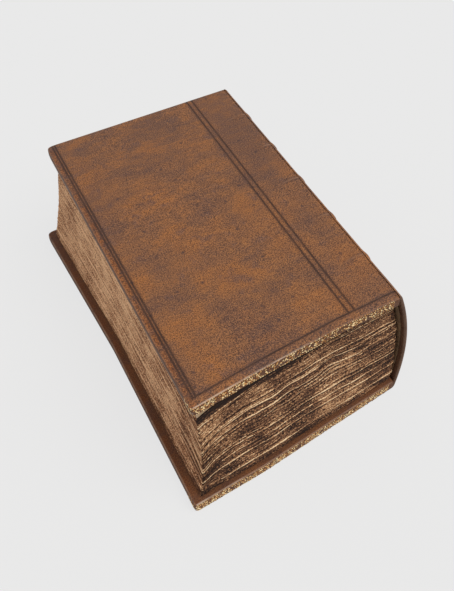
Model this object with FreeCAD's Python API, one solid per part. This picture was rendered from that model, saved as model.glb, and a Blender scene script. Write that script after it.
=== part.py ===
"""A small thick leather-bound book of the hand-press period, lying closed on its back cover.

Lengths are in millimetres.  +Z is up, the fore edge looks to -X, the spine to +X,
the tail edge to -Y and the head edge to +Y.  The origin is on the table, under the
middle of the whole book.  The book lies as it has settled with age: the front cover
has slid a few millimetres towards the spine and the head, and both boards are out of square.
"""
import FreeCAD, Part
import math
import os

Vec = FreeCAD.Vector

# Size of the closed book: the boards as they were cut, and the height over both covers
BOARD_WIDTH = 88.0
BOARD_HEIGHT = 150.0
BOOK_THICKNESS = 52.4

# How far each corner and edge point of a cover has moved from that rectangle.
# Order: tail corner at the fore edge, two points along the tail, tail corner at the joint,
# head corner at the joint, head corner at the fore edge, middle of the fore edge.
FRONT_DRIFT = [(3.8, 2.2), (4.6, 4.2), (4.8, 5.6), (-1.0, 5.5), (4.7, 0.7), (6.6, 1.5), (5.2, 0.0)]
BACK_DRIFT = [(-2.9, -5.0), (-1.0, -4.0), (-1.0, -1.2), (-0.8, 1.3), (4.0, 1.0), (-4.2, 2.3), (-1.9, 0.0)]
SIDES = ["tail", "tail", "tail", "spine", "head", "fore", "fore"]
TAIL_SPINE = 3
HEAD_SPINE = TAIL_SPINE + 1

# Layers of a cover, from its outer face inwards
LEATHER = 0.8
BOARD = 3.2
PASTEDOWN = 0.2
TURN_IN_WIDTH = 13.0
PASTEDOWN_MARGIN = 4.0
CORNER_WEAR = 2.5
EDGE_WEAR = 0.5

# Room between glued pieces, and between a cover and the spine at the joint
GLUE_GAP = 0.05
JOINT_GAP = 0.35

# Blind ruled lines pressed into the leather
LINE_WIDTH = 0.45
LINE_DEPTH = 0.2
JOINT_PAIR_AT = 17.0
JOINT_PAIR_STEP = 2.4
FORE_PAIR_AT = 2.6
FORE_PAIR_STEP = 1.2
END_LINE_AT = 3.6

# Gold roll along the tail edges of the boards
GILT_PITCH = 2.9
GILT_LENGTH = 2.1
GILT_HEIGHT = 2.6
GILT_THICKNESS = 0.05

# Leaves: how far the covers stand out past them, and how the gatherings show
TAIL_SQUARE = 3.1
HEAD_SQUARE = 3.0
BACK_FORE_SQUARE = 3.3
FRONT_FORE_SQUARE = 2.0
FREE_LEAF = 0.25
FREE_LEAF_SET_BACK = 0.4
BACK_LEAF_GAP = 0.1
FRONT_LEAF_GAP = 0.6
GATHERINGS = 24
GROOVE_HEIGHT = 0.3
GROOVE_DEPTH = 0.7
FORE_HOLLOW = 1.0
LEAF_WANDER = 0.3

# Spine: an arc from joint to joint, and depths counted inwards from its outer skin
SPINE_BULGE = 5.4
SHOULDER_OUT = 0.9
SHOULDER_DOWN = 0.7
SPINE_REACH = 4.0
SPINE_TURN_IN = 10.0
TURN_IN_LAYER = 0.7
LINING = 0.4
LINING_SHORT_AT_TAIL = 2.6
LINING_SHORT_AT_HEAD = 2.2

# Cords that the gatherings are sewn round
CORD_COUNT = 5
FIRST_CORD_AT = 24.0
CORD_PITCH = 24.6
CORD_RADIUS = 1.1
CORD_ROOM = 0.25
SLIP_LENGTH = 14.0
SLIP_ROOT_WIDTH = 2.4
SLIP_END_WIDTH = 5.0
SLIP_THICKNESS = 0.7
LUMP_RADIUS = 2.6
LUMP_HEIGHT = 0.35
LUMP_FROM_JOINT = 3.4

COVER = 2 * LEATHER + BOARD
TOP = BOOK_THICKNESS
TURN_IN_FROM = LEATHER + BOARD
FREE_BACK_Z = COVER + PASTEDOWN + BACK_LEAF_GAP
FREE_FRONT_Z = TOP - COVER - PASTEDOWN - FRONT_LEAF_GAP - FREE_LEAF
BLOCK_Z0 = FREE_BACK_Z + FREE_LEAF
BLOCK_Z1 = FREE_FRONT_Z
LINING_OUTER = LEATHER + TURN_IN_LAYER + 2 * GLUE_GAP
LINING_INNER = LINING_OUTER + LINING
BLOCK_DEPTH = LINING_INNER + 2 * GLUE_GAP
CORD_DEPTH = BLOCK_DEPTH - GLUE_GAP - CORD_RADIUS


def outline(front):
    """Outline of one cover seen from above, anticlockwise."""
    w, h = BOARD_WIDTH, BOARD_HEIGHT
    square = [(0, 0), (w * 0.3, 0), (w * 0.65, 0), (w, 0), (w, h), (0, h), (0, h / 2)]
    drift = FRONT_DRIFT if front else BACK_DRIFT
    return [(x + dx, y + dy) for (x, y), (dx, dy) in zip(square, drift)]


def inset(points, **gaps):
    """Move each side of an outline inwards by the gap given for its kind of side."""
    count = len(points)
    lines = []
    for i in range(count):
        ax, ay = points[i]
        bx, by = points[(i + 1) % count]
        length = math.hypot(bx - ax, by - ay)
        gap = gaps.get(SIDES[i], 0.0)
        ux = (bx - ax) / length
        uy = (by - ay) / length
        lines.append((ax - uy * gap, ay + ux * gap, ux, uy))
    moved = []
    for i in range(count):
        px, py, ux, uy = lines[i - 1]
        qx, qy, vx, vy = lines[i]
        cross = ux * vy - uy * vx
        along = ((qx - px) * vy - (qy - py) * vx) / cross
        moved.append((px + ux * along, py + uy * along))
    return moved


def prism(points, z0, z1):
    """Upright block with the given outline between two heights."""
    corners = [Vec(x, y, z0) for x, y in points]
    face = Part.Face(Part.makePolygon(corners + corners[:1]))
    return face.extrude(Vec(0, 0, z1 - z0))


def stands_on(edge, corners):
    """True for an upright edge over one of the given corners."""
    a = edge.Vertexes[0].Point
    b = edge.Vertexes[-1].Point
    if math.hypot(a.x - b.x, a.y - b.y) > 0.001:
        return False
    return any(math.hypot(a.x - x, a.y - y) < 0.01 for x, y in corners)


def rounded_prism(points, z0, z1, radius):
    """Upright block whose two corners at the fore edge are worn round."""
    block = prism(points, z0, z1)
    corners = [points[0], points[HEAD_SPINE + 1]]
    return block.makeFillet(radius, [e for e in block.Edges if stands_on(e, corners)])


def between(front, h0, h1):
    """Heights of a layer of a cover, lower one first, from its levels under the outer face."""
    return sorted((TOP - h0, TOP - h1)) if front else (h0, h1)


def soften_outer_edges(block, front):
    """Wear down the arris round the outer face, except along the joint."""
    level = TOP if front else 0
    joint = spine_ends(front)
    edges = []
    for edge in block.Edges:
        ends = [v.Point for v in edge.Vertexes]
        if any(abs(p.z - level) > 0.001 for p in ends):
            continue
        if all(any(math.hypot(p.x - x, p.y - y) < 0.01 for x, y in joint) for p in ends):
            continue
        edges.append(edge)
    return block.makeFillet(EDGE_WEAR, edges)


def spine_ends(front):
    """The two ends of a cover's joint edge, tail first."""
    points = outline(front)
    return points[TAIL_SPINE], points[HEAD_SPINE]


def line_tool(front, outer, inner):
    """Cutter for a ruled line: what lies inside one outline and outside another."""
    z0, z1 = between(front, -1.0, LINE_DEPTH)
    return prism(outer, z0, z1).cut(prism(inner, z0 - 1, z1 + 1))


def ruled_lines(front):
    """Cutters for the frame of lines near the edges and the pair beside the joint."""
    points = outline(front)
    w = LINE_WIDTH
    e = END_LINE_AT
    a = FORE_PAIR_AT
    b = FORE_PAIR_AT + FORE_PAIR_STEP
    tools = [line_tool(front, inset(points, tail=e, head=e, fore=a, spine=-3.0),
                       inset(points, tail=e + w, head=e + w, fore=a + w, spine=-4.0))]
    tools.append(line_tool(front, inset(points, tail=e, head=e, fore=b),
                           inset(points, tail=e, head=e, fore=b + w)))
    for i in range(2):
        s = JOINT_PAIR_AT + i * JOINT_PAIR_STEP
        tools.append(line_tool(front, inset(points, tail=e, spine=s), inset(points, tail=e, spine=s + w)))
    return tools


def cover_leather(front):
    """Calf over one board: outer face, three edges and the turn-ins, open towards the joint."""
    points = outline(front)
    body = rounded_prism(points, *between(front, 0, COVER), CORNER_WEAR)
    body = soften_outer_edges(body, front)
    nest = inset(points, tail=LEATHER, head=LEATHER, fore=LEATHER, spine=-1.0)
    body = body.cut(rounded_prism(nest, *between(front, LEATHER, TURN_IN_FROM), CORNER_WEAR - LEATHER))
    t = TURN_IN_WIDTH
    window = inset(points, tail=t, head=t, fore=t, spine=-1.0)
    body = body.cut(prism(window, *between(front, TURN_IN_FROM - LEATHER, COVER + LEATHER)))
    for tool in ruled_lines(front):
        body = body.cut(tool)
    if front:
        for i in range(CORD_COUNT):
            body = body.fuse(cord_lump(i))
    return body


def cord_lump(i):
    """Low round swelling of the leather over a cord end, near the joint of the front cover."""
    x, y = beside_joint(True, i, LUMP_FROM_JOINT)
    radius = (LUMP_RADIUS ** 2 + LUMP_HEIGHT ** 2) / (2 * LUMP_HEIGHT)
    ball = Part.makeSphere(radius, Vec(x, y, TOP + LUMP_HEIGHT - radius))
    slab = Part.makeBox(4 * LUMP_RADIUS, 4 * LUMP_RADIUS, LEATHER / 2 + 2 * LUMP_HEIGHT)
    slab.translate(Vec(x - 2 * LUMP_RADIUS, y - 2 * LUMP_RADIUS, TOP - LEATHER / 2))
    return ball.common(slab)


def pasteboard(front):
    """The board itself, cut away where the cord ends are laid in."""
    core = inset(outline(front), tail=LEATHER, head=LEATHER, fore=LEATHER)
    body = rounded_prism(core, *between(front, LEATHER, TURN_IN_FROM), CORNER_WEAR - LEATHER)
    for i in range(CORD_COUNT):
        body = body.cut(cord_slip(front, i))
    return body


def pastedown(front):
    """Sheet glued inside a cover: it steps from the board up over the leather turn-ins."""
    points = outline(front)
    m = PASTEDOWN_MARGIN
    w = TURN_IN_WIDTH + GLUE_GAP
    p = w + PASTEDOWN
    over = prism(inset(points, tail=m, head=m, fore=m), *between(front, COVER, COVER + PASTEDOWN))
    well = inset(points, tail=w, head=w, fore=w)
    down = prism(well, *between(front, TURN_IN_FROM, COVER + PASTEDOWN))
    pocket = inset(points, tail=p, head=p, fore=p, spine=-1.0)
    hollow = prism(pocket, *between(front, TURN_IN_FROM + PASTEDOWN, COVER + PASTEDOWN + LEATHER))
    return over.fuse(down).cut(hollow).removeSplitter()


def spine_length():
    """Length of the spine along the front joint."""
    (ax, ay), (bx, by) = spine_ends(True)
    return math.hypot(bx - ax, by - ay)


def cord_share(i):
    """Place of cord i on the spine, as the part of the spine's length below it."""
    return (FIRST_CORD_AT + i * CORD_PITCH) / spine_length()


def beside_joint(front, i, distance):
    """Point of a cover at the height of cord i, some way in from the joint."""
    (ax, ay), (bx, by) = spine_ends(front)
    length = math.hypot(bx - ax, by - ay)
    share = cord_share(i)
    x = ax + (bx - ax) * share - (by - ay) / length * distance
    y = ay + (by - ay) * share + (bx - ax) / length * distance
    return x, y


def cord_slip(front, i):
    """Frayed end of a cord, spread flat and let into the outer face of the board."""
    (ax, ay), (bx, by) = spine_ends(front)
    length = math.hypot(bx - ax, by - ay)
    ux, uy = (bx - ax) / length, (by - ay) / length
    cx, cy = beside_joint(front, i, 0)
    fx, fy = beside_joint(front, i, SLIP_LENGTH)
    root = SLIP_ROOT_WIDTH / 2
    end = SLIP_END_WIDTH / 2
    points = [(cx - ux * root, cy - uy * root), (cx + ux * root, cy + uy * root)]
    points += [(fx + ux * end, fy + uy * end), (fx - ux * end, fy - uy * end)]
    return prism(points, *between(front, LEATHER, LEATHER + SLIP_THICKNESS))


def gilt_leaf(x, y, ux, uy, z):
    """One lozenge of gold standing on a board edge that runs along (ux, uy)."""
    centre = Vec(x, y, z)
    way = Vec(ux, uy, 0) * (GILT_LENGTH / 2)
    up = Vec(0, 0, GILT_HEIGHT / 2)
    ring = [centre - way, centre - up, centre + way, centre + up]
    face = Part.Face(Part.makePolygon(ring + ring[:1]))
    return face.extrude(Vec(uy, -ux, 0) * GILT_THICKNESS)


def gilt_roll(front):
    """Gold prints of the roll, side by side along the tail edge of a cover."""
    points = outline(front)
    z = sum(between(front, 0, COVER)) / 2
    leaves = []
    for i in range(TAIL_SPINE):
        ax, ay = points[i]
        bx, by = points[i + 1]
        length = math.hypot(bx - ax, by - ay)
        ux, uy = (bx - ax) / length, (by - ay) / length
        start = CORNER_WEAR if i == 0 else 0.0
        count = int((length - start) / GILT_PITCH)
        for k in range(count):
            s = start + (k + 0.5) * (length - start) / count
            leaves.append(gilt_leaf(ax + ux * s, ay + uy * s, ux, uy, z))
    return Part.makeCompound(leaves)


def end_y(share, z):
    """Length position of a cross-section of the spine: it leans as the two covers do."""
    low = spine_ends(False)
    high = spine_ends(True)
    tail = low[0][1] + (high[0][1] - low[0][1]) * z / TOP
    head = low[1][1] + (high[1][1] - low[1][1]) * z / TOP
    return tail + (head - tail) * share


def joint_x(front, share):
    """Width position of a joint at a share of the way from tail to head."""
    (ax, _), (bx, _) = spine_ends(front)
    return ax + (bx - ax) * share


def arc_points(share, depth):
    """Lower end, middle and upper end of the spine's arc, some way under its outer skin."""
    x0, z0 = joint_x(False, share) + SHOULDER_OUT, SHOULDER_DOWN
    x1, z1 = joint_x(True, share) + SHOULDER_OUT, TOP - SHOULDER_DOWN
    half = math.hypot(x1 - x0, z1 - z0) / 2
    rise = SPINE_BULGE - SHOULDER_OUT
    radius = (half * half + rise * rise) / (2 * rise)
    nx, nz = (z1 - z0) / (2 * half), -(x1 - x0) / (2 * half)
    cx = (x0 + x1) / 2 - nx * (radius - rise)
    cz = (z0 + z1) / 2 - nz * (radius - rise)
    tilt = math.atan2(nz, nx)
    sweep = math.asin((half + SPINE_REACH) / radius)
    found = []
    for turn in (-sweep, 0.0, sweep):
        x = cx + (radius - depth) * math.cos(tilt + turn)
        z = cz + (radius - depth) * math.sin(tilt + turn)
        found.append(Vec(x, end_y(share, z), z))
    return found


def shell_wire(share, outer, inner):
    """Closed cross-section between two depths of the spine."""
    a = arc_points(share, outer)
    b = arc_points(share, inner)
    edges = [Part.Arc(*a).toShape(), Part.makeLine(a[2], b[2])]
    edges += [Part.Arc(b[2], b[1], b[0]).toShape(), Part.makeLine(b[0], a[0])]
    return Part.Wire(edges)


def spine_shell(outer, inner, share0, share1):
    """Curved sheet of the spine between two depths and two places along it."""
    return Part.makeLoft([shell_wire(share0, outer, inner), shell_wire(share1, outer, inner)], True, True)


def inside_wire(share, depth):
    """Cross-section of everything under a depth of the spine, out past the fore edge."""
    a = arc_points(share, depth)
    past = -BOARD_WIDTH / 2
    low = Vec(past, end_y(share, a[0].z), a[0].z)
    high = Vec(past, end_y(share, a[2].z), a[2].z)
    edges = [Part.Arc(*a).toShape(), Part.makeLine(a[2], high)]
    edges += [Part.makeLine(high, low), Part.makeLine(low, a[0])]
    return Part.Wire(edges)


def inside_spine(depth):
    """All that lies under a depth of the spine, longer than the book at both ends."""
    return Part.makeLoft([inside_wire(-0.1, depth), inside_wire(1.1, depth)], True, True)


def cord_pipe(i, radius):
    """Round bar that follows the spine's arc at the place of cord i."""
    a = arc_points(cord_share(i), CORD_DEPTH)
    path = Part.Wire([Part.Arc(*a).toShape()])
    start = path.Edges[0].tangentAt(path.Edges[0].FirstParameter)
    circle = Part.Wire([Part.makeCircle(radius, a[0], start)])
    return path.makePipeShell([circle], True, True)


def joint_room(front):
    """Space that a cover and its joint take up: the spine's pieces stop short of it."""
    far = -BOARD_WIDTH / 4
    reach = inset(outline(front), spine=-JOINT_GAP, fore=far, head=far, tail=far)
    return prism(reach, *between(front, -COVER, 1.25 * COVER))


def trim_to_joints(shape):
    """Cut a piece of the spine clear of both joints and of the levels of both outer faces."""
    shape = shape.cut(joint_room(True)).cut(joint_room(False))
    w, h = BOARD_WIDTH, BOARD_HEIGHT
    return shape.common(Part.makeBox(3 * w, 3 * h, TOP - 2 * JOINT_GAP, Vec(-w, -h, JOINT_GAP)))


def spine_leather():
    """Calf of the spine: a rounded sheet, moulded over the cords and turned in at both ends."""
    skin = spine_shell(0.0, LEATHER, 0.0, 1.0)
    under = inside_spine(LEATHER / 2)
    hole = CORD_RADIUS + GLUE_GAP
    for i in range(CORD_COUNT):
        skin = skin.fuse(cord_pipe(i, hole + LEATHER).cut(under))
    share = SPINE_TURN_IN / spine_length()
    for share0, share1 in ((0.0, share), (1.0 - share, 1.0)):
        skin = skin.fuse(spine_shell(LEATHER / 2, LEATHER + TURN_IN_LAYER, share0, share1))
    for i in range(CORD_COUNT):
        skin = skin.cut(cord_pipe(i, hole))
    return trim_to_joints(skin)


def lining_panel(i):
    """Paper lining between two cords, or between the last cord and the end of the spine."""
    room = (CORD_RADIUS + CORD_ROOM) / spine_length()
    first = LINING_SHORT_AT_TAIL / spine_length()
    last = 1.0 - LINING_SHORT_AT_HEAD / spine_length()
    share0 = first if i == 0 else cord_share(i - 1) + room
    share1 = last if i == CORD_COUNT else cord_share(i) - room
    panel = spine_shell(LINING_OUTER, LINING_INNER, share0, share1)
    w, h = BOARD_WIDTH, BOARD_HEIGHT
    return panel.common(Part.makeBox(3 * w, 3 * h, BLOCK_Z1 - BLOCK_Z0, Vec(-w, -h, BLOCK_Z0)))


def leaf_outline(z, more):
    """Outline of the leaves at one height: it leans with the covers and hollows at the fore edge."""
    beyond = -BOARD_WIDTH / 4
    low = inset(outline(False), tail=TAIL_SQUARE, head=HEAD_SQUARE, fore=BACK_FORE_SQUARE, spine=beyond)
    high = inset(outline(True), tail=TAIL_SQUARE, head=HEAD_SQUARE, fore=FRONT_FORE_SQUARE, spine=beyond)
    share = (z - BLOCK_Z0) / (BLOCK_Z1 - BLOCK_Z0)
    hollow = FORE_HOLLOW * (1 - (2 * share - 1) ** 2)
    points = []
    for (ax, ay), (bx, by) in zip(low, high):
        points.append((ax + (bx - ax) * share, ay + (by - ay) * share))
    return inset(points, fore=hollow + more, tail=more, head=more)


def text_block():
    """All the leaves as one solid: a stack of gatherings with a groove between each two."""
    pitch = (BLOCK_Z1 - BLOCK_Z0) / GATHERINGS
    layers = []
    for k in range(GATHERINGS):
        z0 = BLOCK_Z0 + k * pitch
        z1 = z0 + pitch
        top = z1 if k == GATHERINGS - 1 else z1 - GROOVE_HEIGHT
        wander = LEAF_WANDER * math.sin(2.4 * k + 0.5) ** 2
        layers.append(prism(leaf_outline((z0 + z1) / 2, wander), z0, top))
        if top < z1:
            layers.append(prism(leaf_outline(z1, LEAF_WANDER + GROOVE_DEPTH), top, z1))
    stack = layers[0].multiFuse(layers[1:])
    return stack.common(inside_spine(BLOCK_DEPTH))


def free_leaf(z):
    """One blank leaf next to a cover."""
    sheet = prism(leaf_outline(z, FREE_LEAF_SET_BACK), z, z + FREE_LEAF)
    return sheet.common(inside_spine(BLOCK_DEPTH))


def build():
    """Name and shape of every node."""
    nodes = {}
    for side, front in (("back", False), ("front", True)):
        nodes[side + "_board"] = pasteboard(front)
        nodes[side + "_cover_leather"] = cover_leather(front)
        nodes[side + "_pastedown"] = pastedown(front)
        nodes[side + "_gilt_roll"] = gilt_roll(front)
        for i in range(CORD_COUNT):
            nodes["%s_cord_slip_%d" % (side, i + 1)] = cord_slip(front, i)
    nodes["text_block"] = text_block()
    nodes["back_free_leaf"] = free_leaf(FREE_BACK_Z)
    nodes["front_free_leaf"] = free_leaf(FREE_FRONT_Z)
    nodes["spine_leather"] = spine_leather()
    for i in range(CORD_COUNT):
        nodes["sewing_cord_%d" % (i + 1)] = trim_to_joints(cord_pipe(i, CORD_RADIUS))
    for i in range(CORD_COUNT + 1):
        nodes["spine_lining_%d" % (i + 1)] = lining_panel(i)
    return nodes


def middle(shapes):
    """Point of the table under the middle of all the shapes together."""
    boxes = [shape.optimalBoundingBox(False, False) for shape in shapes]
    x = (min(b.XMin for b in boxes) + max(b.XMax for b in boxes)) / 2
    y = (min(b.YMin for b in boxes) + max(b.YMax for b in boxes)) / 2
    return Vec(x, y, 0)


os.makedirs("parts", exist_ok=True)
pieces = build()
origin = middle(pieces.values())
for name, shape in pieces.items():
    shape.translate(origin * -1)
    shape.exportStep("parts/" + name + ".step")
    print("%-22s solids %d volume %.1f valid %s" % (name, len(shape.Solids), shape.Volume, shape.isValid()))
for side, front in (("back", False), ("front", True)):
    (ax, ay), (bx, by) = spine_ends(front)
    print(side, "joint from", ax - origin.x, ay - origin.y, "to", bx - origin.x, by - origin.y)
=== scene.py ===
# %% [markdown]
# # A small calf-bound book, lying closed on its back cover
#
# The book is about 150 mm tall and thick for its size. Its boards are covered in brown calf, its leaves
# have browned and cockled with age, and a gold roll runs along the tail edges of the boards. The
# joints, boards and cords come from the imported model, which is the fixed frame: nothing in it is moved.
# Here each part that the eye rests on gets a finer surface in the same place.
#
# The first cell loads that frame.

# %% Load the fixed frame
import math

import bpy
import numpy as np
from mathutils import Matrix, Vector


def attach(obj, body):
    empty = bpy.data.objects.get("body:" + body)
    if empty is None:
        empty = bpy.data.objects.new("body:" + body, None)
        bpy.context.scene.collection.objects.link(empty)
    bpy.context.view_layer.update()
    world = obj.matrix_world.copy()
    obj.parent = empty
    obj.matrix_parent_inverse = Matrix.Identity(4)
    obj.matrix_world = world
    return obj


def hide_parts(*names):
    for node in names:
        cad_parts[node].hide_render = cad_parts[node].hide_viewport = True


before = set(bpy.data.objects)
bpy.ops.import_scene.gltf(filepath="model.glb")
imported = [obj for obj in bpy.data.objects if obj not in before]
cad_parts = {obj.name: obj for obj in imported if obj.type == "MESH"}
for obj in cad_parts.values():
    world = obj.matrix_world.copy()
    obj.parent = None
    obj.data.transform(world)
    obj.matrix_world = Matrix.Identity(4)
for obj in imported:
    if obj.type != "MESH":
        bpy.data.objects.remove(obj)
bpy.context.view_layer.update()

# %% [markdown]
# ## Measures of the book
#
# All lengths below are in millimetres, because a binder thinks in them, and become metres when a mesh
# is made. A cover is an outline of seven points seen from above: the tail side has two extra points and
# the fore side one, because the old boards are no longer straight. BENCH is the point of the drawing
# that lies at the origin. TOP is the height over both covers, COVER the thickness of one, WELL the
# depth at which its inside lies within the turn-ins, and TURN_IN how far the leather comes round the
# edge.

# %% Measures and outlines
BENCH = np.array([46.90147, 73.661586])
TOP = 52.4
COVER = 4.8
WELL = 4.0
TURN_IN = 13.0
FRONT = np.array([(3.8, 2.2), (31.0, 4.2), (62.0, 5.6), (87.0, 5.5),
                  (92.7, 150.7), (6.6, 151.5), (5.2, 75.0)]) - BENCH
BACK = np.array([(-2.9, -5.0), (25.4, -4.0), (56.2, -1.2), (87.2, 1.3),
                 (92.0, 151.0), (-4.2, 152.3), (-1.9, 75.0)]) - BENCH
SIDES = ("tail", "tail", "tail", "joint", "head", "fore", "fore")


def inset(points, **gaps):
    """Each side of an outline moved inwards by the gap of its kind, up to where neighbours meet."""
    ahead = np.roll(points, -1, axis=0)
    way = (ahead - points) / np.linalg.norm(ahead - points, axis=1, keepdims=True)
    gap = np.array([gaps.get(side, 0.0) for side in SIDES])
    start = points + np.stack([-way[:, 1], way[:, 0]], axis=1) * gap[:, None]
    before, turn = np.roll(start, 1, axis=0), np.roll(way, 1, axis=0)
    cross = turn[:, 0] * way[:, 1] - turn[:, 1] * way[:, 0]
    step = start - before
    along = (step[:, 0] * way[:, 1] - step[:, 1] * way[:, 0]) / cross
    return before + turn * along[:, None]


print("front cover corners:", FRONT.round(1).tolist())

# %% [markdown]
# ## Helpers for surfaces
#
# Every new piece is a grid of points: the columns run round it and the rows run across it. `skin` turns
# such a grid into a closed mesh. It closes the two ends with a point each, and turns all faces over if
# the volume they enclose comes out negative, so faces always look outwards. `cloud` is a soft random
# surface: random heights on a coarse lattice, joined by smooth curves. `averaged` wears a line round by
# taking each point as the mean of its neighbours.

# %% Surface helpers
LATTICE = 64


def cloud(u, v, seed):
    """Smooth noise from -1 to 1: random values at whole numbers of u and v, blended by 3t^2 - 2t^3."""
    lattice = np.random.default_rng(seed).uniform(-1, 1, (LATTICE, LATTICE))
    iu, iv = np.floor(u).astype(int), np.floor(v).astype(int)
    fu, fv = u - iu, v - iv
    fu, fv = fu * fu * (3 - 2 * fu), fv * fv * (3 - 2 * fv)
    i, j, i_next, j_next = iu % LATTICE, iv % LATTICE, (iu + 1) % LATTICE, (iv + 1) % LATTICE
    low = lattice[i, j] * (1 - fu) + lattice[i_next, j] * fu
    high = lattice[i, j_next] * (1 - fu) + lattice[i_next, j_next] * fu
    return low * (1 - fv) + high * fv


def ease(x):
    """0 below 0, 1 above 1, and 3x^2 - 2x^3 between."""
    x = np.clip(x, 0, 1)
    return x * x * (3 - 2 * x)


def averaged(points, steps, spacing, spread, axis):
    """Mean of each point and its neighbours up to steps away, spacing apart. The weight of the k-th is
    exp(-(k * spacing / spread)^2 / 2)."""
    reach = np.arange(-steps, steps + 1)
    weight = np.exp(-0.5 * (reach * spacing / spread) ** 2)
    weight /= weight.sum()
    return sum(w * np.roll(points, -k, axis=axis) for w, k in zip(weight, reach))


def skin(name, rows, marks=None):
    """Closed mesh from a grid (rows, columns, 3) in mm whose columns wrap round, and whose first and
    last row are closed by a point in their middle. Its volume has the sign of the sum of a . (b x c)
    over its triangles. marks are named vectors for each point, kept for its material."""
    count, wide = rows.shape[:2]
    ends = np.array([rows[0].mean(axis=0), rows[-1].mean(axis=0)])
    points = np.concatenate([rows.reshape(-1, 3), ends])
    r, c = np.meshgrid(np.arange(count - 1), np.arange(wide), indexing="ij")
    a, b = (r * wide + c).ravel(), (r * wide + (c + 1) % wide).ravel()
    quads = np.stack([a, b, b + wide, a + wide], axis=1)
    c = np.arange(wide)
    n = (c + 1) % wide
    first = np.stack([np.full(wide, count * wide), n, c], axis=1)
    top = (count - 1) * wide
    last = np.stack([np.full(wide, count * wide + 1), top + c, top + n], axis=1)
    tris = np.concatenate([first, last])
    p = points - points.mean(axis=0)
    volume = (np.einsum("ij,ij->", p[quads[:, 0]], np.cross(p[quads[:, 1]], p[quads[:, 2]]))
              + np.einsum("ij,ij->", p[quads[:, 0]], np.cross(p[quads[:, 2]], p[quads[:, 3]]))
              + np.einsum("ij,ij->", p[tris[:, 0]], np.cross(p[tris[:, 1]], p[tris[:, 2]])))
    if volume < 0:
        quads, tris = quads[:, ::-1], tris[:, ::-1]
    marks = {key: np.concatenate([np.reshape(m, (count * wide,) + np.shape(m)[2:]),
                                  np.mean(m[0], axis=0)[None], np.mean(m[-1], axis=0)[None]])
             for key, m in (marks or {}).items()}
    return faces(name, points, quads, tris, marks)


def faces(name, points, quads, tris, marks):
    """Mesh object from points in mm, faces of four and three sides, and each point's marks."""
    mesh = bpy.data.meshes.new(name)
    mesh.vertices.add(len(points))
    mesh.vertices.foreach_set("co", (points * 0.001).astype(np.float32).ravel())
    corners = np.concatenate([quads.ravel(), tris.ravel()]).astype(np.int32)
    starts = np.concatenate([np.arange(len(quads)) * 4, 4 * len(quads) + np.arange(len(tris)) * 3])
    mesh.loops.add(len(corners))
    mesh.loops.foreach_set("vertex_index", corners)
    mesh.polygons.add(len(starts))
    mesh.polygons.foreach_set("loop_start", starts.astype(np.int32))
    mesh.update(calc_edges=True)
    mesh.validate()
    mesh.shade_smooth()
    for key, values in marks.items():
        slot = mesh.attributes.new(key, "FLOAT_VECTOR", "POINT")
        slot.data.foreach_set("vector", values.astype(np.float32).ravel())
    piece = bpy.data.objects.new(name, mesh)
    bpy.context.scene.collection.objects.link(piece)
    print(name, "has", 2 * len(quads) + len(tris), "triangles")
    return piece


print("a cloud at three points:", cloud(np.array([0.0, 0.5, 1.0]), np.zeros(3), 1).round(2).tolist())

# %% [markdown]
# ## Helpers for materials
#
# A colour is written as the hex value that a picture of the finish would show, and one function turns
# it to the linear numbers that the renderer works with. `add` puts one node in a material with its
# settings and links, so a material reads as a short list of steps, and `wire` fills the sockets of one
# that is there already.

# %% Material helpers
def linear(code):
    """Linear colour of an sRGB hex value: c / 12.92 when dark, else ((c + 0.055) / 1.055) ^ 2.4."""
    c = np.array([int(code[i:i + 2], 16) for i in (1, 3, 5)]) / 255
    c = np.where(c <= 0.04045, c / 12.92, ((c + 0.055) / 1.055) ** 2.4)
    return (*c.tolist(), 1.0)


def wire(tree, node, **inputs):
    """Values or links for a node's sockets, by name with _ for a space, or by number as i0, i1 ..."""
    for key, value in inputs.items():
        by_number = key[0] == "i" and key[1:].isdigit()
        socket = node.inputs[int(key[1:]) if by_number else key.replace("_", " ")]
        if isinstance(value, bpy.types.NodeSocket):
            tree.links.new(value, socket)
        else:
            socket.default_value = value
    return node


def add(tree, kind, settings=None, stops=None, **inputs):
    """Add a node of a kind, without its ShaderNode. settings are its own properties, stops the colours
    of a ramp, and inputs what `wire` puts in its sockets."""
    node = tree.nodes.new("ShaderNode" + kind)
    for key, value in (settings or {}).items():
        setattr(node, key, value)
    for k, (place, code) in enumerate(stops or []):
        if k > 1:
            node.color_ramp.elements.new(place)
        node.color_ramp.elements[k].position = place
        node.color_ramp.elements[k].color = linear(code)
    return wire(tree, node, **inputs)


def finish(name):
    """New material with only its shader in it: (material, tree, shader)."""
    material = bpy.data.materials.new(name)
    material.use_nodes = True
    tree = material.node_tree
    return material, tree, tree.nodes["Principled BSDF"]


print("pale grey as a linear colour:", linear("#e9e9e9"))

# %% [markdown]
# ## Camera, light and floor
#
# The photograph looks down at the book from above its tail and fore-edge corner, about 47 degrees above
# the table. Where the camera stood was worked out from the corners of the boards. The picture was
# cropped off its own middle, so the camera keeps a small shift.
#
# The light is that of a pale room with one large soft lamp high on the right, towards the viewer: what
# shadow there is falls to the left of the fore edge, and the front cover shades the top of the leaves
# at the tail. A sun lamp with a wide angle gives this at an even level over the floor. The photograph's
# ground is paper lit so brightly that it has next to no shading, so what the camera sees of the room
# and the floor is set apart from the light they give: part of the floor's own colour glows, for camera
# rays only.

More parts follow.
